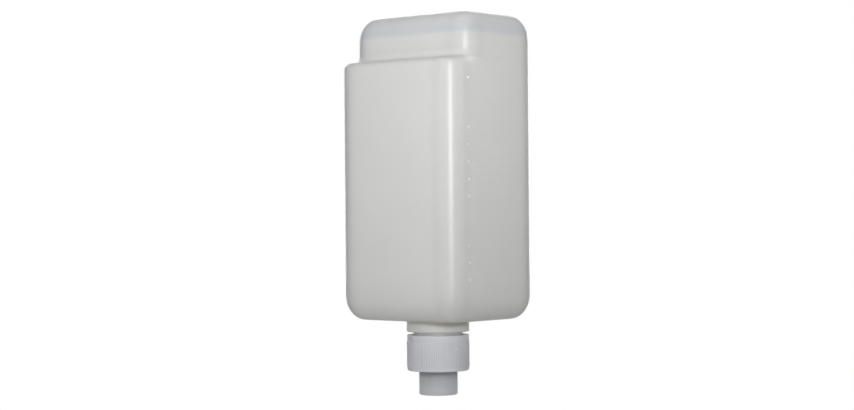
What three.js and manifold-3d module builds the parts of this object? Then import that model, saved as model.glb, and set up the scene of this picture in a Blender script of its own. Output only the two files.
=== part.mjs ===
// Hand soap refill pack: a milky blow-moulded bottle that hangs neck-down in a wall dispenser,
// filled with soap and closed by a ribbed screw cap that clamps a plain outlet stub to the neck.
// Millimetres, +Z up. The origin is on the neck axis, in the plane of the bottle's shoulder.
// The stepped front faces -Y.
import * as THREE from 'three';
import { mergeVertices } from 'three/addons/utils/BufferGeometryUtils.js';
import Module from 'manifold-3d';

const wasm = await Module();
wasm.setup();

// Bottle body
const BODY_WIDTH = 88.7;
const BODY_DEPTH = 76;
const BODY_HEIGHT = 176;
const CORNER_RADIUS = 11.9;
const BASE_ROUNDING = 13.4;
const SHOULDER_ROUNDING = 12.7;
const STEP_DEPTH = 13.3;
const LEDGE_HEIGHT = 147.9;
const LEDGE_ROUNDING = 3.5;
const WALL = 1;
const OVERLAP = 6;

// Level ribs on the two sides: three groups of main ribs with finer ribs between them
const RIB_MIDDLE = 90.4;
const RIB_PITCH = 9.6;
const RIB_GROUP_PERIOD = 66;
const RIBS_EACH_WAY = 2;
const RIB_LOWEST = 20;
const RIB_HIGHEST = 160;
const RIB_HEIGHT = 0.25;
const RIB_HALF_WIDTH = 0.8;
const RIB_ROOT = 0.4;
const RIB_TAPER = 2;
const MAIN_RIB_REACH = 25;
const FINE_RIB_REACH = 21.5;

// Collar and neck. A plain land under the collar nearly fills the cap's mouth, above the thread
const COLLAR_RADIUS = 18.2;
const COLLAR_DROP = 6.8;
const COLLAR_EDGE = 1;
const LAND_RADIUS = 14.4;
const LAND_END = -11.4;
const NECK_RADIUS = 13.2;
const NECK_BORE = 11.6;
const NECK_RIM = -23.6;

// Thread: right-handed, one ridge on the neck and one in the cap, half a pitch apart
const THREAD_PITCH = 4;
const THREAD_TURNS = 1.5;
const THREAD_HEIGHT = 1.4;
const THREAD_ROOT_WIDTH = 1.9;
const THREAD_CREST_WIDTH = 0.9;
const NECK_THREAD_START = -19.4;
const RUN_OUT_STEPS = 3;
const RUN_OUT_LEAST = 0.1;

// Screw cap
const CAP_RADIUS = 18.15;
const CAP_TOP = -9.4;
const CAP_BOTTOM = -29.4;
const CAP_EDGE = 1.4;
const CAP_BORE = 15.2;
const CAP_PLATE = 2.2;
const CAP_HOLE = 11.6;
const GRIP_RIBS = 112;
const GRIP_DEPTH = 0.25;
const GRIP_TOP = -12.4;
const GRIP_BOTTOM = -27.4;

// Outlet stub, its seal and its valve
const STUB_RADIUS = 11.15;
const STUB_BORE = 9.6;
const STUB_END = -43.4;
const STUB_EDGE = 0.9;
const FLANGE_RADIUS = 13.6;
const FLANGE_THICKNESS = 1.6;
const SHELF_BORE = 7.2;
const SHELF_TOP = -32;
const SHELF_THICKNESS = 1.5;
const WASHER_THICKNESS = 1;
const WASHER_BORE = 11.2;
const WASHER_RADIUS = 13.4;
const VALVE_RIM_THICKNESS = 1.2;
const VALVE_SKIN = 0.8;
const VALVE_SAG = 2.2;
const VALVE_RADIUS = 6.6;
const SLIT_LENGTH = 6;
const SLIT_WIDTH = 0.3;
const RING_THICKNESS = 2;

// Soap
const SOAP_LEVEL = 164.5;

// Clearance between pieces that touch, how far a cut runs past a face, and the fineness of round forms
const GAP = 0.3;
const CUT_PAST = 1;
const CORNER_STEPS = 6;
const EDGE_STEPS = 5;
const ROUND_STEPS = 48;
const THREAD_STEPS = 24;
const DISH_STEPS = 4;

// A closed mesh as a solid that can be joined and cut.
function solidOf(geometry) {
  const bare = new THREE.BufferGeometry();
  bare.setAttribute('position', geometry.getAttribute('position'));
  bare.setIndex(geometry.getIndex());
  const merged = mergeVertices(bare, 1e-4);
  const mesh = new wasm.Mesh({
    numProp: 3,
    vertProperties: new Float32Array(merged.getAttribute('position').array),
    triVerts: new Uint32Array(merged.getIndex().array),
  });
  return new wasm.Manifold(mesh);
}

// A solid as a named mesh with its own finish.
function meshOf(name, solid, finish) {
  const { vertProperties, triVerts } = solid.getMesh();
  const geometry = new THREE.BufferGeometry();
  geometry.setAttribute('position', new THREE.BufferAttribute(vertProperties, 3));
  geometry.setIndex(new THREE.BufferAttribute(triVerts, 1));
  geometry.computeVertexNormals();
  const mesh = new THREE.Mesh(geometry, new THREE.MeshStandardMaterial(finish));
  mesh.name = name;
  return mesh;
}

// A solid skinned through rings of equal counts, each running anticlockwise seen from the last ring's end.
function loft(rings) {
  const count = rings[0].length;
  const positions = rings.flat().flatMap((point) => [point.x, point.y, point.z]);
  const index = [];
  for (let ring = 0; ring < rings.length - 1; ring += 1) {
    for (let i = 0; i < count; i += 1) {
      const a = ring * count + i;
      const b = ring * count + ((i + 1) % count);
      index.push(a, b, b + count, a, b + count, a + count);
    }
  }
  const ends = [rings[0], rings.at(-1)];
  ends.forEach((ring, end) => {
    const middle = ring.reduce((sum, point) => sum.add(point), new THREE.Vector3()).divideScalar(count);
    const hub = positions.length / 3;
    const first = end === 0 ? 0 : (rings.length - 1) * count;
    positions.push(middle.x, middle.y, middle.z);
    for (let i = 0; i < count; i += 1) {
      const a = first + i;
      const b = first + ((i + 1) % count);
      index.push(hub, ...(end === 0 ? [b, a] : [a, b]));
    }
  });
  const geometry = new THREE.BufferGeometry();
  geometry.setAttribute('position', new THREE.Float32BufferAttribute(positions, 3));
  geometry.setIndex(index);
  return solidOf(geometry);
}

// A solid turned on the neck axis from [radius, height] pairs that start and end on the axis.
function turned(profile) {
  const points = profile.map(([radius, height]) => new THREE.Vector2(radius, height));
  const geometry = new THREE.LatheGeometry(points, ROUND_STEPS);
  return solidOf(geometry.rotateX(Math.PI / 2));
}

// A plain turned rod, or the bore that it cuts.
function rod(radius, bottom, top) {
  return turned([[0, bottom], [radius, bottom], [radius, top], [0, top]]);
}

// The points of a quarter round from one angle to another, as [radius, height] pairs.
function quarterRound(centreRadius, centreHeight, size, from, to) {
  return Array.from({ length: EDGE_STEPS + 1 }, (_, step) => {
    const angle = THREE.MathUtils.lerp(from, to, step / EDGE_STEPS);
    return [centreRadius + size * Math.cos(angle), centreHeight + size * Math.sin(angle)];
  });
}

// The ring of a rounded rectangle at one height, drawn in from the block's walls by inset.
function ringOf({ width, front, back }, inset, height) {
  const radius = Math.max(CORNER_RADIUS - inset, GAP);
  const x = width / 2 - inset - radius;
  const low = front + inset + radius;
  const high = back - inset - radius;
  const corners = [[x, high], [-x, high], [-x, low], [x, low]];
  return corners.flatMap(([cx, cy], corner) =>
    Array.from({ length: CORNER_STEPS + 1 }, (_, step) => {
      const angle = (corner + step / CORNER_STEPS) * (Math.PI / 2);
      return new THREE.Vector3(cx + radius * Math.cos(angle), cy + radius * Math.sin(angle), height);
    }),
  );
}

// A block with rounded corners and rounded edges at its lower and upper ends. inset draws in every wall.
function block(plan, inset) {
  const rings = [];
  for (let step = 0; step <= EDGE_STEPS; step += 1) {
    const angle = (step / EDGE_STEPS) * (Math.PI / 2);
    const size = Math.max(plan.lowRounding - inset, GAP);
    const drawn = size * (1 - Math.sin(angle));
    rings.push(ringOf(plan, inset + drawn, plan.low + inset + size * (1 - Math.cos(angle))));
  }
  for (let step = 0; step <= EDGE_STEPS; step += 1) {
    const angle = (step / EDGE_STEPS) * (Math.PI / 2);
    const size = Math.max(plan.highRounding - inset, GAP);
    const drawn = size * (1 - Math.cos(angle));
    rings.push(ringOf(plan, inset + drawn, plan.high - inset - size * (1 - Math.sin(angle))));
  }
  return loft(rings);
}

// The bottle's body is a deep lower block and a shallower upper block set back behind the ledge.
const lowerBlock = {
  width: BODY_WIDTH,
  front: -BODY_DEPTH / 2,
  back: BODY_DEPTH / 2,
  low: 0,
  high: LEDGE_HEIGHT,
  lowRounding: SHOULDER_ROUNDING,
  highRounding: LEDGE_ROUNDING,
};
const upperBlock = {
  ...lowerBlock,
  front: -BODY_DEPTH / 2 + STEP_DEPTH,
  low: LEDGE_HEIGHT - BASE_ROUNDING - OVERLAP,
  high: BODY_HEIGHT,
  highRounding: BASE_ROUNDING,
};

// The upper block runs down inside the lower one until its straight walls are past the ledge's edge.
function body(inset) {
  return block(lowerBlock, inset).add(block(upperBlock, inset));
}

// One level rib on a side wall: a low ridge whose ends taper into the wall.
function rib(side, height, front, back) {
  const wall = BODY_WIDTH / 2;
  const section = (y, rise) => [
    new THREE.Vector3(side * (wall - RIB_ROOT), y, height - RIB_HALF_WIDTH),
    new THREE.Vector3(side * (wall + rise), y, height),
    new THREE.Vector3(side * (wall - RIB_ROOT), y, height + RIB_HALF_WIDTH),
  ];
  const rings = [
    section(front, -RIB_ROOT / 2),
    section(front + RIB_TAPER, RIB_HEIGHT),
    section(back - RIB_TAPER, RIB_HEIGHT),
    section(back, -RIB_ROOT / 2),
  ];
  return loft(side > 0 ? rings.reverse() : rings);
}

// All the ribs of both sides. Above the ledge they start behind the set-back front.
function ribs() {
  const made = [];
  const addRib = (height, reach) => {
    if (height < RIB_LOWEST || height > RIB_HIGHEST) return;
    const setBack = height > LEDGE_HEIGHT - LEDGE_ROUNDING ? STEP_DEPTH : 0;
    made.push(rib(1, height, setBack - reach, reach), rib(-1, height, setBack - reach, reach));
  };
  for (let group = -1; group <= 1; group += 1) {
    const centre = RIB_MIDDLE + group * RIB_GROUP_PERIOD;
    for (let place = -RIBS_EACH_WAY; place <= RIBS_EACH_WAY; place += 1) {
      addRib(centre + place * RIB_PITCH, MAIN_RIB_REACH);
      if (place < RIBS_EACH_WAY) addRib(centre + (place + 0.5) * RIB_PITCH, FINE_RIB_REACH);
    }
  }
  return made;
}

// A helical ridge that stands on one radius and points out to, or in to, another. Its ends run out to nothing.
function threadRidge(rootRadius, crestRadius, start) {
  const steps = Math.round(THREAD_STEPS * THREAD_TURNS);
  const outward = crestRadius > rootRadius;
  const rings = Array.from({ length: steps + 1 }, (_, step) => {
    const turn = step / THREAD_STEPS;
    const angle = turn * 2 * Math.PI;
    const middle = start + turn * THREAD_PITCH;
    const stepsFromEnd = Math.min(step, steps - step);
    const fullness = Math.min(1, stepsFromEnd / RUN_OUT_STEPS + RUN_OUT_LEAST);
    const crest = THREE.MathUtils.lerp(rootRadius, crestRadius, fullness);
    const root = outward ? rootRadius - GAP : rootRadius + GAP;
    const at = (radius, height) =>
      new THREE.Vector3(radius * Math.cos(angle), radius * Math.sin(angle), height);
    const ring = [
      at(root, middle - THREAD_ROOT_WIDTH / 2),
      at(root, middle + THREAD_ROOT_WIDTH / 2),
      at(crest, middle + THREAD_CREST_WIDTH / 2),
      at(crest, middle - THREAD_CREST_WIDTH / 2),
    ];
    return outward ? ring : ring.reverse();
  });
  return loft(rings);
}

// Bottle: the blown shell with its ribs, collar and threaded neck, open at the neck's rim.
function makeBottle() {
  const collar = turned([
    [0, -COLLAR_DROP],
    ...quarterRound(COLLAR_RADIUS - COLLAR_EDGE, COLLAR_EDGE - COLLAR_DROP, COLLAR_EDGE, -Math.PI / 2, 0),
    [COLLAR_RADIUS, WALL / 2],
    [0, WALL / 2],
  ]);
  const neckTop = WALL - COLLAR_DROP;
  const neck = rod(NECK_RADIUS, NECK_RIM, neckTop).add(rod(LAND_RADIUS, LAND_END, neckTop));
  let outside = body(0).add(collar).add(neck);
  ribs().forEach((ridge) => {
    outside = outside.add(ridge);
  });
  const collarHollow = rod(COLLAR_RADIUS - WALL, neckTop, 2 * WALL);
  const bore = rod(NECK_BORE, NECK_RIM - CUT_PAST, 2 * WALL);
  const shell = outside.subtract(body(WALL).add(collarHollow).add(bore));
  return shell.add(threadRidge(NECK_RADIUS, NECK_RADIUS + THREAD_HEIGHT, NECK_THREAD_START));
}

// Soap: fills the shell to its level and the neck down to the valve.
function makeSoap() {
  const headspace = [
    ringOf({ ...lowerBlock, width: 2 * BODY_WIDTH }, -BODY_DEPTH, SOAP_LEVEL),
    ringOf({ ...lowerBlock, width: 2 * BODY_WIDTH }, -BODY_DEPTH, 2 * BODY_HEIGHT),
  ];
  const inCollar = rod(COLLAR_RADIUS - WALL - GAP, WALL - COLLAR_DROP + GAP, 3 * WALL);
  const inNeck = rod(WASHER_BORE - GAP, NECK_RIM, 3 * WALL);
  const inStub = rod(STUB_BORE - GAP, ringTop + GAP, NECK_RIM + WALL);
  return body(WALL + GAP).subtract(loft(headspace)).add(inCollar).add(inNeck).add(inStub);
}

// Heights of the clamped stack under the neck's rim.
const washerTop = NECK_RIM - GAP;
const flangeTop = washerTop - WASHER_THICKNESS - GAP;
const flangeBottom = flangeTop - FLANGE_THICKNESS;
const plateTop = CAP_BOTTOM + CAP_PLATE;
const valveBottom = SHELF_TOP + GAP;
const valveTop = valveBottom + VALVE_RIM_THICKNESS;
const ringBottom = valveTop + GAP;
const ringTop = ringBottom + RING_THICKNESS;

// Screw cap: a ring nut with fine grip ribs, a plate that carries the stub's flange, and the inner thread.
function makeCap() {
  const shell = turned([
    [0, CAP_BOTTOM],
    ...quarterRound(CAP_RADIUS - GRIP_DEPTH - CAP_EDGE, CAP_BOTTOM + CAP_EDGE, CAP_EDGE, -Math.PI / 2, 0),
    [CAP_RADIUS - GRIP_DEPTH, CAP_TOP],
    [0, CAP_TOP],
  ]);
  const gripRing = (height) =>
    Array.from({ length: 2 * GRIP_RIBS }, (_, i) => {
      const angle = (i / (2 * GRIP_RIBS)) * 2 * Math.PI;
      const radius = i % 2 === 0 ? CAP_RADIUS : CAP_RADIUS - GRIP_DEPTH;
      return new THREE.Vector3(radius * Math.cos(angle), radius * Math.sin(angle), height);
    });
  const grip = loft([gripRing(GRIP_BOTTOM), gripRing(GRIP_TOP)]);
  const mouth = rod(CAP_BORE, plateTop, CAP_TOP + CUT_PAST);
  const hole = rod(CAP_HOLE, CAP_BOTTOM - CUT_PAST, plateTop + CUT_PAST);
  const thread = threadRidge(CAP_BORE, CAP_BORE - THREAD_HEIGHT, NECK_THREAD_START - THREAD_PITCH / 2);
  return shell.add(grip).subtract(mouth).subtract(hole).add(thread);
}

// Outlet stub: a flanged spigot with an open socket below and a shelf for the valve inside.
function makeStub() {
  const outside = turned([
    [0, STUB_END],
    ...quarterRound(STUB_RADIUS - STUB_EDGE, STUB_END + STUB_EDGE, STUB_EDGE, -Math.PI / 2, 0),
    [STUB_RADIUS, flangeBottom],
    [FLANGE_RADIUS, flangeBottom],
    [FLANGE_RADIUS, flangeTop],
    [0, flangeTop],
  ]);
  const socket = rod(STUB_BORE, STUB_END - CUT_PAST, SHELF_TOP - SHELF_THICKNESS);
  const seat = rod(STUB_BORE, SHELF_TOP, flangeTop + CUT_PAST);
  const throat = rod(SHELF_BORE, STUB_END - CUT_PAST, flangeTop + CUT_PAST);
  return outside.subtract(socket).subtract(seat).subtract(throat);
}

// Neck washer: a flat ring between the neck's rim and the stub's flange.
function makeWasher() {
  const bottom = washerTop - WASHER_THICKNESS;
  const bore = rod(WASHER_BORE, bottom - CUT_PAST, washerTop + CUT_PAST);
  return rod(WASHER_RADIUS, bottom, washerTop).subtract(bore);
}

// Slit valve: a soft disc with a rim and a dished skin that two crossed slits open.
function makeValve() {
  const dishTop = (radius) => valveBottom + VALVE_SKIN - VALVE_SAG * (1 - (radius / VALVE_RADIUS) ** 2);
  const radii = Array.from({ length: DISH_STEPS + 1 }, (_, step) => (step / DISH_STEPS) * VALVE_RADIUS);
  const rim = STUB_BORE - GAP;
  const disc = turned([
    ...radii.map((radius) => [radius, dishTop(radius) - VALVE_SKIN]),
    [rim, valveBottom],
    [rim, valveTop],
    [VALVE_RADIUS + VALVE_SKIN, valveTop],
    ...radii.toReversed().map((radius) => [radius, dishTop(radius)]),
  ]);
  const slit = new THREE.BoxGeometry(SLIT_LENGTH, SLIT_WIDTH, 4 * VALVE_SAG).translate(0, 0, valveBottom);
  const crossSlit = slit.clone().rotateZ(Math.PI / 2);
  return disc.subtract(solidOf(slit)).subtract(solidOf(crossSlit));
}

// Valve ring: holds the valve's rim down on its shelf.
function makeRing() {
  const outer = rod(STUB_BORE - GAP, ringBottom, ringTop);
  return outer.subtract(rod(SHELF_BORE, ringBottom - CUT_PAST, ringTop + CUT_PAST));
}

const milky = { color: 0xd2d3ce, roughness: 0.42, metalness: 0 };
const cream = { color: 0xe9e8e0, roughness: 0.3, metalness: 0 };
const capWhite = { color: 0xd0d1d8, roughness: 0.4, metalness: 0 };
const stubGrey = { color: 0xaab1b6, roughness: 0.35, metalness: 0 };
const seal = { color: 0xe4e4e0, roughness: 0.6, metalness: 0 };
const silicone = { color: 0xd8dcdc, roughness: 0.5, metalness: 0 };

const refillPack = new THREE.Group();
refillPack.add(
  meshOf('bottle', makeBottle(), milky),
  meshOf('soap_fill', makeSoap(), cream),
  meshOf('screw_cap', makeCap(), capWhite),
  meshOf('outlet_stub', makeStub(), stubGrey),
  meshOf('neck_washer', makeWasher(), seal),
  meshOf('slit_valve', makeValve(), silicone),
  meshOf('valve_ring', makeRing(), stubGrey),
);

export default refillPack;
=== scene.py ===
from math import cos, pi, radians, sin

import bmesh
import bpy
from mathutils import Matrix, Vector


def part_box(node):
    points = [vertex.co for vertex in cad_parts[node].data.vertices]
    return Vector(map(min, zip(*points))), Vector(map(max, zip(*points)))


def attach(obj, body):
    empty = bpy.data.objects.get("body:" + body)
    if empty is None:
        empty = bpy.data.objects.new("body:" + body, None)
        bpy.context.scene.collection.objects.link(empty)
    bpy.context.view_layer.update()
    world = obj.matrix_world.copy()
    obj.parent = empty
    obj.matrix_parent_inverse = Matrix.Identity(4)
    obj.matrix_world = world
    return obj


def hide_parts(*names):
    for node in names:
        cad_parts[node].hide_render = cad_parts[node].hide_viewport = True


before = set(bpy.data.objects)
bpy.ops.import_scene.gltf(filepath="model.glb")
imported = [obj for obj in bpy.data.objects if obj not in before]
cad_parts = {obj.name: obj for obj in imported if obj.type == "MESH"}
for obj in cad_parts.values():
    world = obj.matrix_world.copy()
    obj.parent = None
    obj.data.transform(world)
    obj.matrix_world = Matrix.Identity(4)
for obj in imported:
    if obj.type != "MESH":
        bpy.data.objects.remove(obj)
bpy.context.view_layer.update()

# Bottle body: a milky polyethylene shell, blown in one piece in a two-part mould. The front is stepped back
# near the flat base, which is uppermost here, and the walls run into each other with soft round edges.
MM = 0.001
bottle_low, bottle_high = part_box("bottle")
BODY_HALF_WIDTH = 44.35 * MM
BODY_HALF_DEPTH = bottle_high.y
BODY_HEIGHT = bottle_high.z
CORNER_RADIUS = 11.9 * MM
CORNER_SEGMENTS = 10
WIDEST_END_BEVEL = 0.99 * CORNER_RADIUS
END_SEGMENTS = 8
BASE_ROUNDING = 13.4 * MM
SHOULDER_ROUNDING = 14.4 * MM
STEP_DEPTH = 13.3 * MM
WALL_FRONT = STEP_DEPTH - BODY_HALF_DEPTH
LEDGE_HEIGHT = 149.2 * MM
LEDGE_ROUNDING = 3.5 * MM
LEDGE_FILLET = 4 * MM
FILLET_STEPS = 7
FILLET_STEP_EDGE = 0.25 * MM
SKIN_PITCH = 1 * MM
SKIN_SMOOTHINGS = 6
SMOOTHING_FACTOR = 0.5
SAME_PLACE = 0.01 * MM
scene = bpy.context.scene


def block(low, high):
    """A rectangular block between two opposite corners."""
    bm = bmesh.new()
    bmesh.ops.create_cube(bm, size=1)
    bmesh.ops.scale(bm, verts=bm.verts, vec=high - low)
    bmesh.ops.translate(bm, verts=bm.verts, vec=(low + high) / 2)
    return bm


def bevel(bm, edges, offset, segments):
    """Rounds edges with an arc."""
    bmesh.ops.bevel(
        bm, geom=edges, offset=offset, offset_type="OFFSET", segments=segments, profile=0.5,
        affect="EDGES", clamp_overlap=True, material=-1)


def round_end(bm, level, inward, height):
    """Rounds the edge all round one end of a block, as a quarter ellipse of a given height."""
    rim = [edge for edge in bm.edges if all(abs(vert.co.z - level) < SAME_PLACE for vert in edge.verts)]
    bevel(bm, rim, inward, END_SEGMENTS)
    rounded = [vert for vert in bm.verts if abs(vert.co.z - level) < inward + SAME_PLACE]
    bmesh.ops.scale(
        bm, verts=rounded, vec=(1, 1, height / inward), space=Matrix.Translation((0, 0, -level)))


def rounded_block(front, bottom, top, bottom_rounding, top_rounding):
    """A block of the body's width from a front wall to the back, with round corners and ends."""
    bm = block(Vector((-BODY_HALF_WIDTH, front, bottom)), Vector((BODY_HALF_WIDTH, BODY_HALF_DEPTH, top)))
    upright = [edge for edge in bm.edges if abs(edge.verts[0].co.z - edge.verts[1].co.z) > SAME_PLACE]
    bevel(bm, upright, CORNER_RADIUS, CORNER_SEGMENTS)
    for level, rounding in ((bottom, bottom_rounding), (top, top_rounding)):
        round_end(bm, level, min(rounding, WIDEST_END_BEVEL), rounding)
    return bm


def join(bm, other):
    """Moves another bmesh's shape into a bmesh."""
    mesh = bpy.data.meshes.new("joined")
    other.to_mesh(mesh)
    other.free()
    bm.from_mesh(mesh)
    bpy.data.meshes.remove(mesh)


def finished(name, bm):
    """Turns a bmesh into a smooth-shaded object at the origin."""
    mesh = bpy.data.meshes.new(name)
    bm.to_mesh(mesh)
    bm.free()
    for polygon in mesh.polygons:
        polygon.use_smooth = True
    made = bpy.data.objects.new(name, mesh)
    scene.collection.objects.link(made)
    return made


def with_modifiers_applied(made):
    """Replaces an object's mesh by what its modifiers make of it."""
    depsgraph = bpy.context.evaluated_depsgraph_get()
    mesh = bpy.data.meshes.new_from_object(made.evaluated_get(depsgraph))
    made.modifiers.clear()
    old = made.data
    made.data = mesh
    bpy.data.meshes.remove(old)


bm = rounded_block(-BODY_HALF_DEPTH, 0, LEDGE_HEIGHT, SHOULDER_ROUNDING, LEDGE_ROUNDING)
join(bm, rounded_block(WALL_FRONT, LEDGE_HEIGHT / 2, BODY_HEIGHT, CORNER_RADIUS, BASE_ROUNDING))
for step in range(1, FILLET_STEPS + 1):
    angle = pi / 2 * step / (FILLET_STEPS + 1)
    forward = LEDGE_FILLET * (1 - sin(angle))
    rise = LEDGE_FILLET * (1 - cos(angle))
    join(bm, rounded_block(
        WALL_FRONT - forward, LEDGE_HEIGHT / 2, LEDGE_HEIGHT + rise, CORNER_RADIUS, FILLET_STEP_EDGE))
bottle = finished("bottle_shell", bm)
skin = bottle.modifiers.new("one_skin", "REMESH")
skin.mode = "VOXEL"
skin.voxel_size = SKIN_PITCH
with_modifiers_applied(bottle)
bm = bmesh.new()
bm.from_mesh(bottle.data)
for _ in range(SKIN_SMOOTHINGS):
    bmesh.ops.smooth_vert(
        bm, verts=bm.verts, factor=SMOOTHING_FACTOR, use_axis_x=True, use_axis_y=True, use_axis_z=True)
bm.to_mesh(bottle.data)
bm.free()

# Side ribs: low level swellings moulded on both sides of the body, in three groups, to stiffen its wall.
# Finer, shorter ribs lie between the main ones, which below the ledge end in a small round boss in front.
RIB_MIDDLE = 90.4 * MM
RIB_PITCH = 9.6 * MM
RIB_GROUPS = (-1, 0, 1)
RIB_GROUP_PERIOD = 66 * MM
RIBS_EACH_WAY = 2
RIB_LOWEST = 20 * MM
RIB_HIGHEST = 160 * MM
MAIN_RIB = {"reach": 23.7 * MM, "width": 3.4 * MM, "rise": 0.1 * MM, "boss": 0.9 * MM}
FINE_RIB = {"reach": 20.5 * MM, "width": 2.6 * MM, "rise": 0.05 * MM, "boss": 0}
SPINDLE_SIDES = 20
SPINDLE_RINGS = 16
# The wall's plane cuts a spindle half-way out from its axis, where this share of its size is left.
SPINDLE_CUT = sin(pi / 3)
BOSS_RISE = 0.8
BOSS_SIDES = 16
BOSS_RINGS = 10


def weld(made, bm, operation="UNION"):
    """Joins another closed shape to an object, so that the two have one skin, or cuts it away."""
    other = finished("shape_to_weld", bm)
    combined = made.modifiers.new("weld", "BOOLEAN")
    combined.operation = operation
    combined.solver = "MANIFOLD"
    combined.object = other
    with_modifiers_applied(made)
    shape = other.data
    bpy.data.objects.remove(other)
    bpy.data.meshes.remove(shape)


def on_both_sides(bm):
    """Repeats a shape of the +X side on the other side."""
    bmesh.ops.mirror(bm, geom=bm.verts[:] + bm.edges[:] + bm.faces[:], axis="X", merge_dist=0)
    bmesh.ops.recalc_face_normals(bm, faces=bm.faces)
    return bm


def add_rib(ribs, bosses, height, reach, width, rise, boss):
    """Adds a rib on the +X side: a long spindle, mostly sunk, and a main rib's boss below the ledge."""
    below_ledge = height <= LEDGE_HEIGHT - LEDGE_ROUNDING
    front = -reach if below_ledge else STEP_DEPTH - reach
    spindle = bmesh.ops.create_uvsphere(
        ribs, u_segments=SPINDLE_SIDES, v_segments=SPINDLE_RINGS, radius=1)["verts"]
    bmesh.ops.rotate(ribs, verts=spindle, cent=(0, 0, 0), matrix=Matrix.Rotation(pi / 2, 3, "X"))
    half_length = (reach - front) / 2 / SPINDLE_CUT
    half_width = width / 2 / SPINDLE_CUT
    bmesh.ops.scale(ribs, verts=spindle, vec=(2 * rise, half_length, half_width))
    bmesh.ops.translate(ribs, verts=spindle, vec=(BODY_HALF_WIDTH - rise, (front + reach) / 2, height))
    if boss and below_ledge:
        dome = bmesh.ops.create_uvsphere(
            bosses, u_segments=BOSS_SIDES, v_segments=BOSS_RINGS, radius=boss)["verts"]
        bmesh.ops.scale(bosses, verts=dome, vec=(BOSS_RISE, 1, 1))
        bmesh.ops.translate(bosses, verts=dome, vec=(BODY_HALF_WIDTH, front, height))


ribs = bmesh.new()
bosses = bmesh.new()
for group in RIB_GROUPS:
    for half_step in range(-2 * RIBS_EACH_WAY, 2 * RIBS_EACH_WAY + 1):
        height = RIB_MIDDLE + group * RIB_GROUP_PERIOD + half_step * RIB_PITCH / 2
        if RIB_LOWEST < height < RIB_HIGHEST:
            add_rib(ribs, bosses, height, **(FINE_RIB if half_step % 2 else MAIN_RIB))
weld(bottle, on_both_sides(ribs))
weld(bottle, on_both_sides(bosses))

# Collar and neck: a plain round collar under the shoulder, then the narrower neck with its screw thread.
# They are blown in the same mould as the body. A plain land above the thread fills the cap's mouth.
COLLAR_RADIUS = 18.2 * MM
COLLAR_DROP = 6.8 * MM
COLLAR_EDGE = 0.6 * MM
COLLAR_FILLET = 1.6 * MM
LAND_RADIUS = 14.4 * MM
LAND_END = -11.4 * MM
LAND_EDGE = 0.4 * MM
NECK_RADIUS = 13.2 * MM
NECK_BORE = 11.6 * MM
NECK_RIM = bottle_low.z
NECK_RIM_EDGE = 0.5 * MM
NECK_ROOT = 2 * MM
THREAD_PITCH = 4 * MM
THREAD_TURNS = 1.5
THREAD_HEIGHT = 1.4 * MM
THREAD_ROOT = 1.9 * MM
THREAD_CREST = 0.9 * MM
THREAD_START = -19.4 * MM
THREAD_BITE = 0.3 * MM
ROUND_STEPS = 96
EDGE_SEGMENTS = 5
SHARP_ANGLE = radians(40)


def turned(profile):
    """A closed profile turned on the neck axis. Its corners have a radius, a height and a rounding."""
    bm = bmesh.new()
    verts = [bm.verts.new((radius, 0, height)) for radius, height, _ in profile]
    for a, b in zip(verts, verts[1:] + verts[:1]):
        bm.edges.new((a, b))
    for vert, (_, _, rounding) in zip(verts, profile):
        if rounding:
            bmesh.ops.bevel(
                bm, geom=[vert], offset=rounding, offset_type="OFFSET", segments=EDGE_SEGMENTS, profile=0.5,
                affect="VERTICES", clamp_overlap=True, material=-1)
    bmesh.ops.spin(
        bm, geom=bm.verts[:] + bm.edges[:], cent=(0, 0, 0), axis=(0, 0, 1), dvec=(0, 0, 0),
        angle=2 * pi, steps=ROUND_STEPS, use_merge=True)
    bmesh.ops.remove_doubles(bm, verts=bm.verts, dist=SAME_PLACE)
    bmesh.ops.recalc_face_normals(bm, faces=bm.faces)
    return bm


def thread(root, crest, start):
    """One helical ridge from a root radius to a crest radius."""
    bm = bmesh.new()
    section = [
        (root, start - THREAD_ROOT / 2), (crest, start - THREAD_CREST / 2),
        (crest, start + THREAD_CREST / 2), (root, start + THREAD_ROOT / 2)]
    face = bm.faces.new([bm.verts.new((radius, 0, height)) for radius, height in section])
    bmesh.ops.spin(
        bm, geom=[face], cent=(0, 0, 0), axis=(0, 0, 1), dvec=(0, 0, THREAD_PITCH / ROUND_STEPS),
        angle=2 * pi * THREAD_TURNS, steps=round(THREAD_TURNS * ROUND_STEPS), use_merge=False)
    bmesh.ops.recalc_face_normals(bm, faces=bm.faces)
    return bm


def shade(made):
    """Shades an object smooth, apart from its sharper edges."""
    for polygon in made.data.polygons:
        polygon.use_smooth = True
    made.data.set_sharp_from_angle(angle=SHARP_ANGLE)


weld(bottle, turned([
    (NECK_BORE, NECK_RIM, 0),
    (NECK_RADIUS, NECK_RIM, NECK_RIM_EDGE),
    (NECK_RADIUS, LAND_END, 0),
    (LAND_RADIUS, LAND_END, LAND_EDGE),
    (LAND_RADIUS, -COLLAR_DROP, 0),
    (COLLAR_RADIUS, -COLLAR_DROP, COLLAR_EDGE),
    (COLLAR_RADIUS, -COLLAR_FILLET / 2, COLLAR_FILLET / 2),
    (COLLAR_RADIUS + COLLAR_FILLET, COLLAR_FILLET / 2, 0),
    (COLLAR_RADIUS, NECK_ROOT, 0),
    (NECK_BORE, NECK_ROOT, 0)]))
weld(bottle, thread(NECK_RADIUS - THREAD_BITE, NECK_RADIUS + THREAD_HEIGHT, THREAD_START))
shade(bottle)

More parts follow.
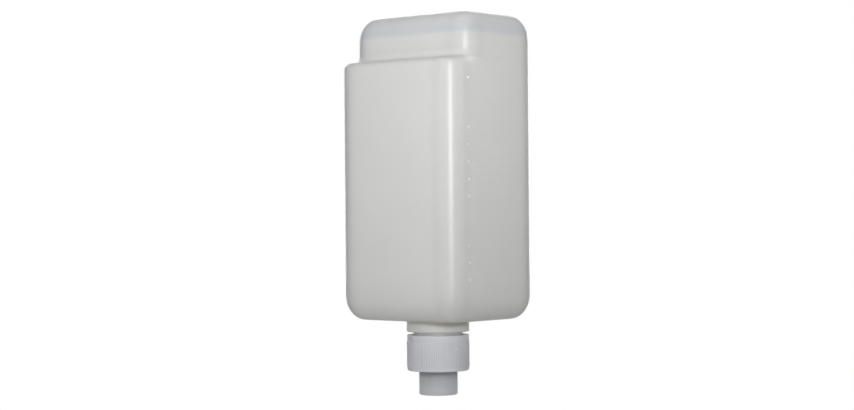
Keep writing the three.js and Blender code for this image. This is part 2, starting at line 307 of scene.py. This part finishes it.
# Milky polyethylene: satin and slightly cloudy. The soap behind the wall makes it warm and pale, and the air
# above the soap leaves it cooler and greyer, though not at the base's rim. The collar and neck are yellower.
# Painted shade darkens the upright corners, where it cancels the flash's stronger light and stands for the
# thinner stretched wall, and the shoulder, so that the body darkens towards the neck. Painted light
# brightens the base's rim, the hollow above the ledge and the neck's land in the collar's shadow, and a
# painted highlight whitens the front of each boss.
SOAP_TINT = (0.7, 0.7, 0.688)
AIR_TINT = (0.625, 0.645, 0.668)
COLLAR_TINT = (0.7, 0.695, 0.645)
COLLAR_BLEND = 3 * MM
LEVEL_DROP = 1 * MM
SOAP_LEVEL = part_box("soap_fill")[1].z - LEVEL_DROP
LEVEL_BLUR = 1.3 * MM
# Painted shade on the upright corners: it cancels the flash's stronger light there and stands for the
# thinner wall.
CORNER_PAINTED_SHADE = 0.24
CORNER_SHADE_REACH = 19 * MM
# Painted shade near the shoulder, so that the body darkens towards the neck.
SHOULDER_PAINTED_SHADE = 0.09
SHOULDER_SHADE_REACH = 28 * MM
# Painted light on the neck's land below the collar, which lies in the collar's shadow.
LAND_PAINTED_LIGHT = 0.55
# Painted highlight: a lighter spot on each main rib's boss stands for the flash's glint on it.
BOSS_PAINTED_GLINT = 0.3
BOSS_GLINT_REACH = 1.5 * MAIN_RIB["boss"]
BOSS_GLINT_DEPTH = 5 * MM
# Painted light in the hollow above the ledge, which cancels the shade there.
LEDGE_PAINTED_LIGHT = 0.22
LEDGE_LIGHT_MIDDLE = LEDGE_HEIGHT + LEDGE_FILLET / 4
LEDGE_LIGHT_REACH_UP = 1.2 * LEDGE_FILLET
LEDGE_LIGHT_REACH_OUT = 0.7 * STEP_DEPTH
# Painted light on the base's rim, standing for light from above on its rounding. The rim also stays warm.
BASE_PAINTED_LIGHT = 0.16
BASE_WARMTH = 0.8
BASE_REACH = 11 * MM
MILKY_SPECULAR = 0.3
PLASTIC_IOR = 1.5
NOISE_MIDDLE = 0.5
SCATTER_BALANCE = (1, 1, 0.9)


def new_material(name):
    """A material with its Principled shader."""
    material = bpy.data.materials.new(name)
    material.use_nodes = True
    return material, material.node_tree.nodes["Principled BSDF"]


def feed(tree, value, socket):
    """Links another node's output to a socket, or sets the socket to a plain value."""
    if isinstance(value, bpy.types.NodeSocket):
        tree.links.new(value, socket)
    else:
        socket.default_value = value


def add_node(tree, kind, **values):
    """Adds a node to a tree and feeds its inputs by name, with _ for a space."""
    made = tree.nodes.new(kind)
    for name, value in values.items():
        feed(tree, value, made.inputs[name.replace("_", " ")])
    return made


def calculate(tree, operation, *values):
    """Adds a math node, with numbers or other nodes' outputs as its values."""
    made = tree.nodes.new("ShaderNodeMath")
    made.operation = operation
    for place, value in enumerate(values):
        feed(tree, value, made.inputs[place])
    return made.outputs[0]


def scaled(tree, color, tone):
    """A colour, or another node's output, made lighter or darker by a tone."""
    made = tree.nodes.new("ShaderNodeVectorMath")
    made.operation = "SCALE"
    feed(tree, color, made.inputs[0])
    feed(tree, tone, made.inputs["Scale"])
    return made.outputs[0]


def blend(tree, mask, first, second):
    """Goes from a first tint to a second by a mask. A tint is a colour or another node's output."""
    made = tree.nodes.new("ShaderNodeMix")
    made.data_type = "RGBA"
    feed(tree, mask, made.inputs["Factor"])
    feed(tree, first, made.inputs["A"])
    feed(tree, second, made.inputs["B"])
    return made.outputs["Result"]


def eased(tree, value, start, end, before, after):
    """A value that eases from one level to another between a start and an end."""
    made = add_node(
        tree, "ShaderNodeMapRange", Value=value, From_Min=start, From_Max=end, To_Min=before, To_Max=after)
    made.interpolation_type = "SMOOTHSTEP"
    return made.outputs["Result"]


def near(tree, distance, reach):
    """A mask that fades from 1 at no distance to 0 at a reach."""
    return eased(tree, distance, 0, reach, 1, 0)


def apart(tree, coordinate, place):
    """How far a coordinate is from a place, either way."""
    return calculate(tree, "ABSOLUTE", calculate(tree, "SUBTRACT", coordinate, place))


def all_of(tree, first, *others):
    """A mask that is 1 only where each of several masks is."""
    combined = first
    for mask in others:
        combined = calculate(tree, "MULTIPLY", combined, mask)
    return combined


def object_place(tree):
    """Where a point lies on its own piece."""
    return tree.nodes.new("ShaderNodeTexCoord").outputs["Object"]


def moulded_finish_group():
    """The shared finish of moulded plastic: faint clouds of tone, uneven gloss and a fine skin."""
    tree = bpy.data.node_groups.new("moulded_finish", "ShaderNodeTree")
    sockets = (
        ("Color", "INPUT", "NodeSocketColor"), ("Cloud Scale", "INPUT", "NodeSocketFloat"),
        ("Cloud Depth", "INPUT", "NodeSocketFloat"), ("Gloss Low", "INPUT", "NodeSocketFloat"),
        ("Gloss High", "INPUT", "NodeSocketFloat"), ("Skin Scale", "INPUT", "NodeSocketFloat"),
        ("Color", "OUTPUT", "NodeSocketColor"), ("Roughness", "OUTPUT", "NodeSocketFloat"),
        ("Height", "OUTPUT", "NodeSocketFloat"))
    for name, direction, kind in sockets:
        tree.interface.new_socket(name, in_out=direction, socket_type=kind)
    given = tree.nodes.new("NodeGroupInput").outputs
    out = tree.nodes.new("NodeGroupOutput").inputs
    place = object_place(tree)
    clouds = add_node(
        tree, "ShaderNodeTexNoise", Vector=place, Scale=given["Cloud Scale"], Detail=3, Roughness=0.55)
    uneven = clouds.outputs["Fac"]
    off_middle = calculate(tree, "SUBTRACT", uneven, NOISE_MIDDLE)
    tone = calculate(tree, "MULTIPLY_ADD", off_middle, given["Cloud Depth"], 1)
    tree.links.new(scaled(tree, given["Color"], tone), out["Color"])
    gloss = add_node(
        tree, "ShaderNodeMapRange", Value=uneven, To_Min=given["Gloss Low"], To_Max=given["Gloss High"])
    tree.links.new(gloss.outputs["Result"], out["Roughness"])
    skin = add_node(
        tree, "ShaderNodeTexNoise", Vector=place, Scale=given["Skin Scale"], Detail=2, Roughness=0.5)
    tree.links.new(skin.outputs["Fac"], out["Height"])
    return tree


moulded_finish = moulded_finish_group()


def moulded(name, color, cloud_scale, cloud_depth, gloss, skin_scale, skin_height):
    """A moulded plastic, rubber, foam or cream, and its finish node for a colour that varies."""
    material, shader = new_material(name)
    tree = material.node_tree
    finish = tree.nodes.new("ShaderNodeGroup")
    finish.node_tree = moulded_finish
    finish.inputs["Color"].default_value = (*color, 1)
    finish.inputs["Cloud Scale"].default_value = cloud_scale
    finish.inputs["Cloud Depth"].default_value = cloud_depth
    finish.inputs["Gloss Low"].default_value = gloss[0]
    finish.inputs["Gloss High"].default_value = gloss[1]
    finish.inputs["Skin Scale"].default_value = skin_scale
    bump = add_node(
        tree, "ShaderNodeBump", Strength=1, Distance=skin_height, Height=finish.outputs["Height"])
    tree.links.new(finish.outputs["Color"], shader.inputs["Base Color"])
    tree.links.new(finish.outputs["Roughness"], shader.inputs["Roughness"])
    tree.links.new(bump.outputs["Normal"], shader.inputs["Normal"])
    shader.inputs["IOR"].default_value = PLASTIC_IOR
    return material, finish


def let_light_in(material, depth, weight):
    """Lets light scatter under a surface to about a given depth."""
    shader = material.node_tree.nodes["Principled BSDF"]
    shader.inputs["Subsurface Weight"].default_value = weight
    shader.inputs["Subsurface Radius"].default_value = SCATTER_BALANCE
    shader.inputs["Subsurface Scale"].default_value = depth


def coat(made, material):
    """Gives an object its one material."""
    made.data.materials.clear()
    made.data.materials.append(material)


milky, finish = moulded(
    "milky_polyethylene", SOAP_TINT, cloud_scale=28, cloud_depth=0.06, gloss=(0.35, 0.39), skin_scale=900,
    skin_height=0.004 * MM)
let_light_in(milky, depth=10 * MM, weight=1)
tree = milky.node_tree
tree.nodes["Principled BSDF"].inputs["Specular IOR Level"].default_value = MILKY_SPECULAR
x, y, z = add_node(tree, "ShaderNodeSeparateXYZ", Vector=object_place(tree)).outputs

# The base's rim: a mask for its painted light and for keeping it warm.
base_rim = near(tree, calculate(tree, "SUBTRACT", BODY_HEIGHT, z), BASE_REACH)
cool = calculate(tree, "MULTIPLY_ADD", base_rim, -BASE_WARMTH, 1)
above_soap = eased(tree, z, SOAP_LEVEL - LEVEL_BLUR, SOAP_LEVEL + LEVEL_BLUR, 0, 1)
below_level = blend(tree, near(tree, z, COLLAR_BLEND), (*SOAP_TINT, 1), (*COLLAR_TINT, 1))
tint = blend(tree, all_of(tree, above_soap, cool), below_level, (*AIR_TINT, 1))

past_ledge = calculate(tree, "GREATER_THAN", z, LEDGE_HEIGHT)
front_wall = calculate(tree, "MULTIPLY_ADD", past_ledge, STEP_DEPTH, -BODY_HALF_DEPTH)
from_front = calculate(tree, "SUBTRACT", y, front_wall)
from_back = calculate(tree, "SUBTRACT", BODY_HALF_DEPTH, y)
from_either = calculate(tree, "MINIMUM", from_front, from_back)
from_side = calculate(tree, "SUBTRACT", BODY_HALF_WIDTH, calculate(tree, "ABSOLUTE", x))
# Painted shade on the upright corners.
corner = all_of(tree, near(tree, from_either, CORNER_SHADE_REACH), near(tree, from_side, CORNER_SHADE_REACH))
# Painted shade near the shoulder.
shoulder = near(tree, z, SHOULDER_SHADE_REACH)
# Painted light in the hollow above the ledge.
ledge = all_of(
    tree,
    near(tree, apart(tree, z, LEDGE_LIGHT_MIDDLE), LEDGE_LIGHT_REACH_UP),
    near(tree, apart(tree, y, WALL_FRONT), LEDGE_LIGHT_REACH_OUT))
# Painted light below the collar.
land = calculate(tree, "LESS_THAN", z, -COLLAR_DROP)
# Painted highlight on the fronts of the main ribs' bosses.
off_group = calculate(tree, "PINGPONG", calculate(tree, "SUBTRACT", z, RIB_MIDDLE), RIB_GROUP_PERIOD / 2)
off_rib = calculate(tree, "PINGPONG", off_group, RIB_PITCH / 2)
boss = all_of(
    tree,
    near(tree, off_rib, BOSS_GLINT_REACH),
    near(tree, apart(tree, y, -MAIN_RIB["reach"]), BOSS_GLINT_REACH),
    near(tree, from_side, BOSS_GLINT_DEPTH),
    calculate(tree, "LESS_THAN", off_group, (RIBS_EACH_WAY + 0.5) * RIB_PITCH),
    calculate(tree, "GREATER_THAN", z, RIB_LOWEST),
    calculate(tree, "LESS_THAN", z, LEDGE_HEIGHT - LEDGE_ROUNDING))
# Painted shade and painted light: the masks above darken or lighten the tint.
tone = 1
for mask, gain in (
        (corner, -CORNER_PAINTED_SHADE), (shoulder, -SHOULDER_PAINTED_SHADE), (base_rim, BASE_PAINTED_LIGHT),
        (ledge, LEDGE_PAINTED_LIGHT), (land, LAND_PAINTED_LIGHT), (boss, BOSS_PAINTED_GLINT)):
    tone = calculate(tree, "MULTIPLY_ADD", mask, gain, tone)
tree.links.new(scaled(tree, tint, tone), finish.inputs["Color"])
coat(bottle, milky)
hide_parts("bottle")
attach(bottle, "bottle")

# Soap: thick cream soap that fills the bottle to its level and the neck down to the valve.
# It is poured in at the factory, and shows only as the warm tone behind the milky wall.
SOAP_COLOR = (0.78, 0.775, 0.72)
cream, _ = moulded(
    "cream_soap", SOAP_COLOR, cloud_scale=40, cloud_depth=0.08, gloss=(0.22, 0.3), skin_scale=120,
    skin_height=0.05 * MM)
let_light_in(cream, depth=3 * MM, weight=0.5)
coat(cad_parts["soap_fill"], cream)

# Outlet stub: a plain spigot moulded in natural polypropylene, greyish and slightly clear, with an open
# socket below. The cap's plate clamps it by its flange.
stub_low, stub_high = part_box("outlet_stub")
FLANGE_RADIUS = stub_high.x
FLANGE_THICKNESS = 1.6 * MM
FLANGE_BOTTOM = stub_high.z - FLANGE_THICKNESS
STUB_RADIUS = 11.15 * MM
STUB_EDGE = 0.9 * MM
STUB_BORE = 9.6 * MM
SOCKET_EDGE = 0.4 * MM
SHELF_BORE = 7.2 * MM
SHELF_TOP = -32 * MM
SHELF_THICKNESS = 1.5 * MM
SHELF_BOTTOM = SHELF_TOP - SHELF_THICKNESS
SHELF_EDGE = 0.2 * MM
STUB_TINT = (0.57, 0.605, 0.635)
stub = finished("outlet_spigot", turned([
    (STUB_BORE, stub_low.z, SOCKET_EDGE),
    (STUB_RADIUS, stub_low.z, STUB_EDGE),
    (STUB_RADIUS, FLANGE_BOTTOM, 0),
    (FLANGE_RADIUS, FLANGE_BOTTOM, 0),
    (FLANGE_RADIUS, stub_high.z, 0),
    (STUB_BORE, stub_high.z, 0),
    (STUB_BORE, SHELF_TOP, 0),
    (SHELF_BORE, SHELF_TOP, SHELF_EDGE),
    (SHELF_BORE, SHELF_BOTTOM, SHELF_EDGE),
    (STUB_BORE, SHELF_BOTTOM, 0)]))
natural, _ = moulded(
    "natural_polypropylene", STUB_TINT, cloud_scale=110, cloud_depth=0.1, gloss=(0.55, 0.62),
    skin_scale=1100, skin_height=0.004 * MM)
let_light_in(natural, depth=25 * MM, weight=1)
coat(stub, natural)
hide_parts("outlet_stub")
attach(stub, "outlet")

# Slit valve: a soft silicone disc, moulded with a thick rim and a dished skin that two crossed slits open.
# It lies on the shelf inside the stub, under the ring that holds it there.
valve_low, valve_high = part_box("slit_valve")
VALVE_RADIUS = 6.6 * MM
VALVE_SKIN = 0.8 * MM
VALVE_RIM_THICKNESS = 1.2 * MM
VALVE_RIM_BOTTOM = valve_high.z - VALVE_RIM_THICKNESS
VALVE_SAG = VALVE_RIM_BOTTOM - valve_low.z
SLIT_LENGTH = 6 * MM
SLIT_WIDTH = 0.3 * MM
PINHOLE = SLIT_WIDTH / 4
DISH_STEPS = 10
SILICONE_COLOR = (0.7, 0.71, 0.71)


def dish(level):
    """The outline of a shallow bowl below a level, from a pinhole where the slits cross out to its edge."""
    radii = [max(VALVE_RADIUS * step / DISH_STEPS, PINHOLE) for step in range(DISH_STEPS + 1)]
    return [(radius, level - VALVE_SAG * (1 - (radius / VALVE_RADIUS) ** 2), 0) for radius in radii]


rim = [
    (valve_high.x, VALVE_RIM_BOTTOM, 0), (valve_high.x, valve_high.z, 0),
    (VALVE_RADIUS + VALVE_SKIN, valve_high.z, 0)]
upper_side = dish(VALVE_RIM_BOTTOM + VALVE_SKIN)[::-1]
valve = finished("slit_valve_disc", turned(dish(VALVE_RIM_BOTTOM) + rim + upper_side))
half_slit = Vector((SLIT_LENGTH / 2, SLIT_WIDTH / 2, 2 * VALVE_SAG))
for direction in (0, pi / 2):
    slit = block(-half_slit, half_slit)
    bmesh.ops.rotate(slit, verts=slit.verts, cent=(0, 0, 0), matrix=Matrix.Rotation(direction, 3, "Z"))
    bmesh.ops.translate(slit, verts=slit.verts, vec=(0, 0, VALVE_RIM_BOTTOM))
    weld(valve, slit, "DIFFERENCE")
shade(valve)
silicone, _ = moulded(
    "clear_white_silicone", SILICONE_COLOR, cloud_scale=200, cloud_depth=0.08, gloss=(0.3, 0.4),
    skin_scale=1500, skin_height=0.003 * MM)
let_light_in(silicone, depth=2 * MM, weight=0.6)
coat(valve, silicone)
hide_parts("slit_valve")
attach(valve, "outlet")

# Valve ring: a plain ring moulded in the stub's natural plastic.
# It is pressed into the stub's bore over the valve's rim, and holds the valve on its shelf.
coat(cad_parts["valve_ring"], natural)

# Neck washer: a flat ring cut from white foam sheet.
# The cap presses it between the neck's end and the outlet's flange, as a seal.
FOAM_COLOR = (0.77, 0.77, 0.75)
foam, _ = moulded(
    "white_foam", FOAM_COLOR, cloud_scale=300, cloud_depth=0.15, gloss=(0.8, 0.9), skin_scale=2500,
    skin_height=0.03 * MM)
coat(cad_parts["neck_washer"], foam)

# Screw cap: a ring nut moulded in white polypropylene, with fine upright grip ribs all round, one short
# raised mark among them and a smooth band at its open rim.
# It screws up the neck, and its plate clamps the outlet's flange against the neck's end.
cap_low, cap_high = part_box("screw_cap")
RIM_LIFT = 0.8 * MM
CAP_RADIUS = cap_high.x
CAP_TOP = cap_high.z + RIM_LIFT
CAP_BORE = 15.2 * MM
CAP_PLATE = 2.2 * MM
CAP_HOLE = 11.6 * MM
CAP_EDGE = 1.1 * MM
CAP_RIM_EDGE = 0.25 * MM
CAP_INNER_EDGE = 0.3 * MM
GRIP_DEPTH = 0.2 * MM
GRIP_ROOT = CAP_RADIUS - GRIP_DEPTH
GRIP_RIBS = 112
GRIP_HALF_WIDTH = pi * CAP_RADIUS / GRIP_RIBS / 2
GRIP_TOP = -12.4 * MM
GRIP_BOTTOM = -27.4 * MM
GRIP_EDGE = 0.8 * GRIP_DEPTH
GRIP_EDGE_SEGMENTS = 2
MARK_TURN = radians(-12)
MARK_WIDTH = 1 * MM
MARK_HEIGHT = 2.8 * MM
MARK_MIDDLE = -16.2 * MM
MARK_RISE = 0.6 * MM
# Painted highlight on the raised mark, standing for the flash's glint on it.
MARK_PAINTED_GLINT = 0.45
MARK_SIDES = 16
MARK_RINGS = 12
CAP_TINT = (0.63, 0.64, 0.675)

cap = finished("ribbed_cap", turned([
    (CAP_HOLE, cap_low.z, CAP_INNER_EDGE),
    (GRIP_ROOT, cap_low.z, CAP_EDGE),
    (GRIP_ROOT, CAP_TOP, CAP_RIM_EDGE),
    (CAP_BORE, CAP_TOP, CAP_INNER_EDGE),
    (CAP_BORE, cap_low.z + CAP_PLATE, 0),
    (CAP_HOLE, cap_low.z + CAP_PLATE, 0)]))
grip = block(
    Vector((GRIP_ROOT - GRIP_DEPTH, -GRIP_HALF_WIDTH, GRIP_BOTTOM)),
    Vector((CAP_RADIUS, GRIP_HALF_WIDTH, GRIP_TOP)))
outer = [edge for edge in grip.edges if all(vert.co.x > GRIP_ROOT for vert in edge.verts)]
bevel(grip, outer, GRIP_EDGE, GRIP_EDGE_SEGMENTS)
bmesh.ops.spin(
    grip, geom=grip.verts[:] + grip.edges[:] + grip.faces[:], cent=(0, 0, 0), axis=(0, 0, 1),
    dvec=(0, 0, 0), angle=2 * pi * (GRIP_RIBS - 1) / GRIP_RIBS, steps=GRIP_RIBS - 1, use_duplicate=True)
weld(cap, grip)
mark = bmesh.new()
bmesh.ops.create_uvsphere(mark, u_segments=MARK_SIDES, v_segments=MARK_RINGS, radius=0.5)
bmesh.ops.scale(mark, verts=mark.verts, vec=(2 * MARK_RISE, MARK_WIDTH, MARK_HEIGHT))
bmesh.ops.translate(mark, verts=mark.verts, vec=(CAP_RADIUS, 0, MARK_MIDDLE))
bmesh.ops.rotate(mark, verts=mark.verts, cent=(0, 0, 0), matrix=Matrix.Rotation(MARK_TURN, 3, "Z"))
weld(cap, mark)
weld(cap, thread(CAP_BORE + THREAD_BITE, CAP_BORE - THREAD_HEIGHT, THREAD_START - THREAD_PITCH / 2))
shade(cap)
cap_white, finish = moulded(
    "white_polypropylene", CAP_TINT, cloud_scale=90, cloud_depth=0.08, gloss=(0.6, 0.68), skin_scale=1200,
    skin_height=0.004 * MM)
let_light_in(cap_white, depth=5 * MM, weight=1)
tree = cap_white.node_tree
# Painted highlight: the cap's colour is made lighter on the raised mark.
from_mark = tree.nodes.new("ShaderNodeVectorMath")
from_mark.operation = "DISTANCE"
from_mark.inputs[1].default_value = (CAP_RADIUS * cos(MARK_TURN), CAP_RADIUS * sin(MARK_TURN), MARK_MIDDLE)
tree.links.new(object_place(tree), from_mark.inputs[0])
mark_glint = near(tree, from_mark.outputs["Value"], MARK_HEIGHT / 2)
tone = calculate(tree, "MULTIPLY_ADD", mark_glint, MARK_PAINTED_GLINT, 1)
tree.links.new(scaled(tree, CAP_TINT, tone), finish.inputs["Color"])
coat(cap, cap_white)
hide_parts("screw_cap")
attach(cap, "cap")

# Stage: a plain pale floor well below the hanging pack, and white surroundings that give a little light.
# The camera sees them as full white, and so do reflections and clear surfaces.
FLOOR_HEIGHT = -160 * MM
FLOOR_RADIUS = 500 * MM
FLOOR_COLOR = (0.85, 0.85, 0.85)
FLOOR_ROUGHNESS = 0.9
ROOM_LIGHT = 0.14
bm = bmesh.new()
bmesh.ops.create_circle(bm, cap_ends=True, segments=ROUND_STEPS, radius=FLOOR_RADIUS)
bmesh.ops.translate(bm, verts=bm.verts, vec=(0, 0, FLOOR_HEIGHT))
floor = finished("pale_floor", bm)
pale, shader = new_material("pale_floor")
shader.inputs["Base Color"].default_value = (*FLOOR_COLOR, 1)
shader.inputs["Roughness"].default_value = FLOOR_ROUGHNESS
coat(floor, pale)

world = bpy.data.worlds.new("white_room")
scene.world = world
world.use_nodes = True
tree = world.node_tree
path = tree.nodes.new("ShaderNodeLightPath").outputs
seen = calculate(tree, "MAXIMUM", path["Is Camera Ray"], path["Is Transmission Ray"])
seen = calculate(tree, "MAXIMUM", seen, path["Is Glossy Ray"])
strength = add_node(tree, "ShaderNodeMapRange", Value=seen, To_Min=ROOM_LIGHT, To_Max=1)
background = tree.nodes["Background"]
background.inputs["Color"].default_value = (1, 1, 1, 1)
tree.links.new(strength.outputs["Result"], background.inputs["Strength"])

# Camera: it stands a little below the body's middle, off the near right-hand edge of the stepped front.
# Its place, small upward tilt, slight lean and focal length were fitted to the photograph's outline.
IMAGE_WIDTH = 854
FOCAL_PIXELS = 1950
SENSOR_WIDTH = 36
NEAREST_SEEN = 10 * MM
CAMERA_AZIMUTH = radians(41.25)
CAMERA_DISTANCE = 1133 * MM
CAMERA_HEIGHT = 62 * MM
CAMERA_ASIDE = 5.8 * MM
CAMERA_UPWARD_TILT = radians(0.23)
CAMERA_LEAN = radians(-0.48)

lens = bpy.data.cameras.new("photo_lens")
lens.sensor_width = SENSOR_WIDTH
lens.lens = FOCAL_PIXELS * SENSOR_WIDTH / IMAGE_WIDTH
lens.clip_start = NEAREST_SEEN
camera = bpy.data.objects.new("photo_camera", lens)
scene.collection.objects.link(camera)
scene.camera = camera
turn = Matrix.Rotation(CAMERA_AZIMUTH, 4, "Z")
stand = Matrix.Translation((-CAMERA_ASIDE, -CAMERA_DISTANCE, CAMERA_HEIGHT))
aim = Matrix.Rotation(pi / 2 + CAMERA_UPWARD_TILT, 4, "X") @ Matrix.Rotation(CAMERA_LEAN, 4, "Z")
camera.matrix_world = turn @ stand @ aim

# Lights: a small flash beside the camera, soft boxes low and high in front, a large one behind the pack, and
# a wide one for the light that the floor throws up. Sizes and places are in metres, and powers in watts.
FLASH_AZIMUTH = CAMERA_AZIMUTH + radians(4)
FLASH_SPREAD = radians(45)
FRONT_AZIMUTH = radians(18)
BOUNCE_AZIMUTH = radians(25)
BACK_AZIMUTH = CAMERA_AZIMUTH + pi


def area_light(name, azimuth, distance, height, target, width, depth, power, spread=pi):
    """A rectangular light that faces a height on the neck axis, with a beam that fades over its spread.

    The azimuth is counted from the front towards the right.
    """
    data = bpy.data.lights.new(name, "AREA")
    data.shape = "RECTANGLE"
    data.size = width
    data.size_y = depth
    data.energy = power
    data.spread = spread
    lamp = bpy.data.objects.new(name, data)
    lamp.visible_camera = False
    scene.collection.objects.link(lamp)
    place = Vector((distance * sin(azimuth), -distance * cos(azimuth), height))
    lamp.location = place
    lamp.rotation_euler = (Vector((0, 0, target)) - place).to_track_quat("-Z", "Y").to_euler()


area_light(
    "camera_flash", FLASH_AZIMUTH, distance=0.93, height=0.15, target=0.15,
    width=0.1, depth=0.05, power=0.4, spread=FLASH_SPREAD)
area_light(
    "low_soft_box", FRONT_AZIMUTH, distance=0.5, height=-0.02, target=0.04,
    width=0.4, depth=0.25, power=0.27)
area_light(
    "floor_bounce", BOUNCE_AZIMUTH, distance=0.5, height=-0.13, target=0,
    width=0.8, depth=0.2, power=0.2)
area_light(
    "top_soft_box", FRONT_AZIMUTH, distance=0.5, height=0.6, target=0.15,
    width=0.8, depth=0.4, power=0.42)
area_light(
    "back_soft_box", BACK_AZIMUTH, distance=0.9, height=0.25, target=0.08,
    width=1, depth=0.6, power=5.5)
scene.view_settings.view_transform = "Standard"
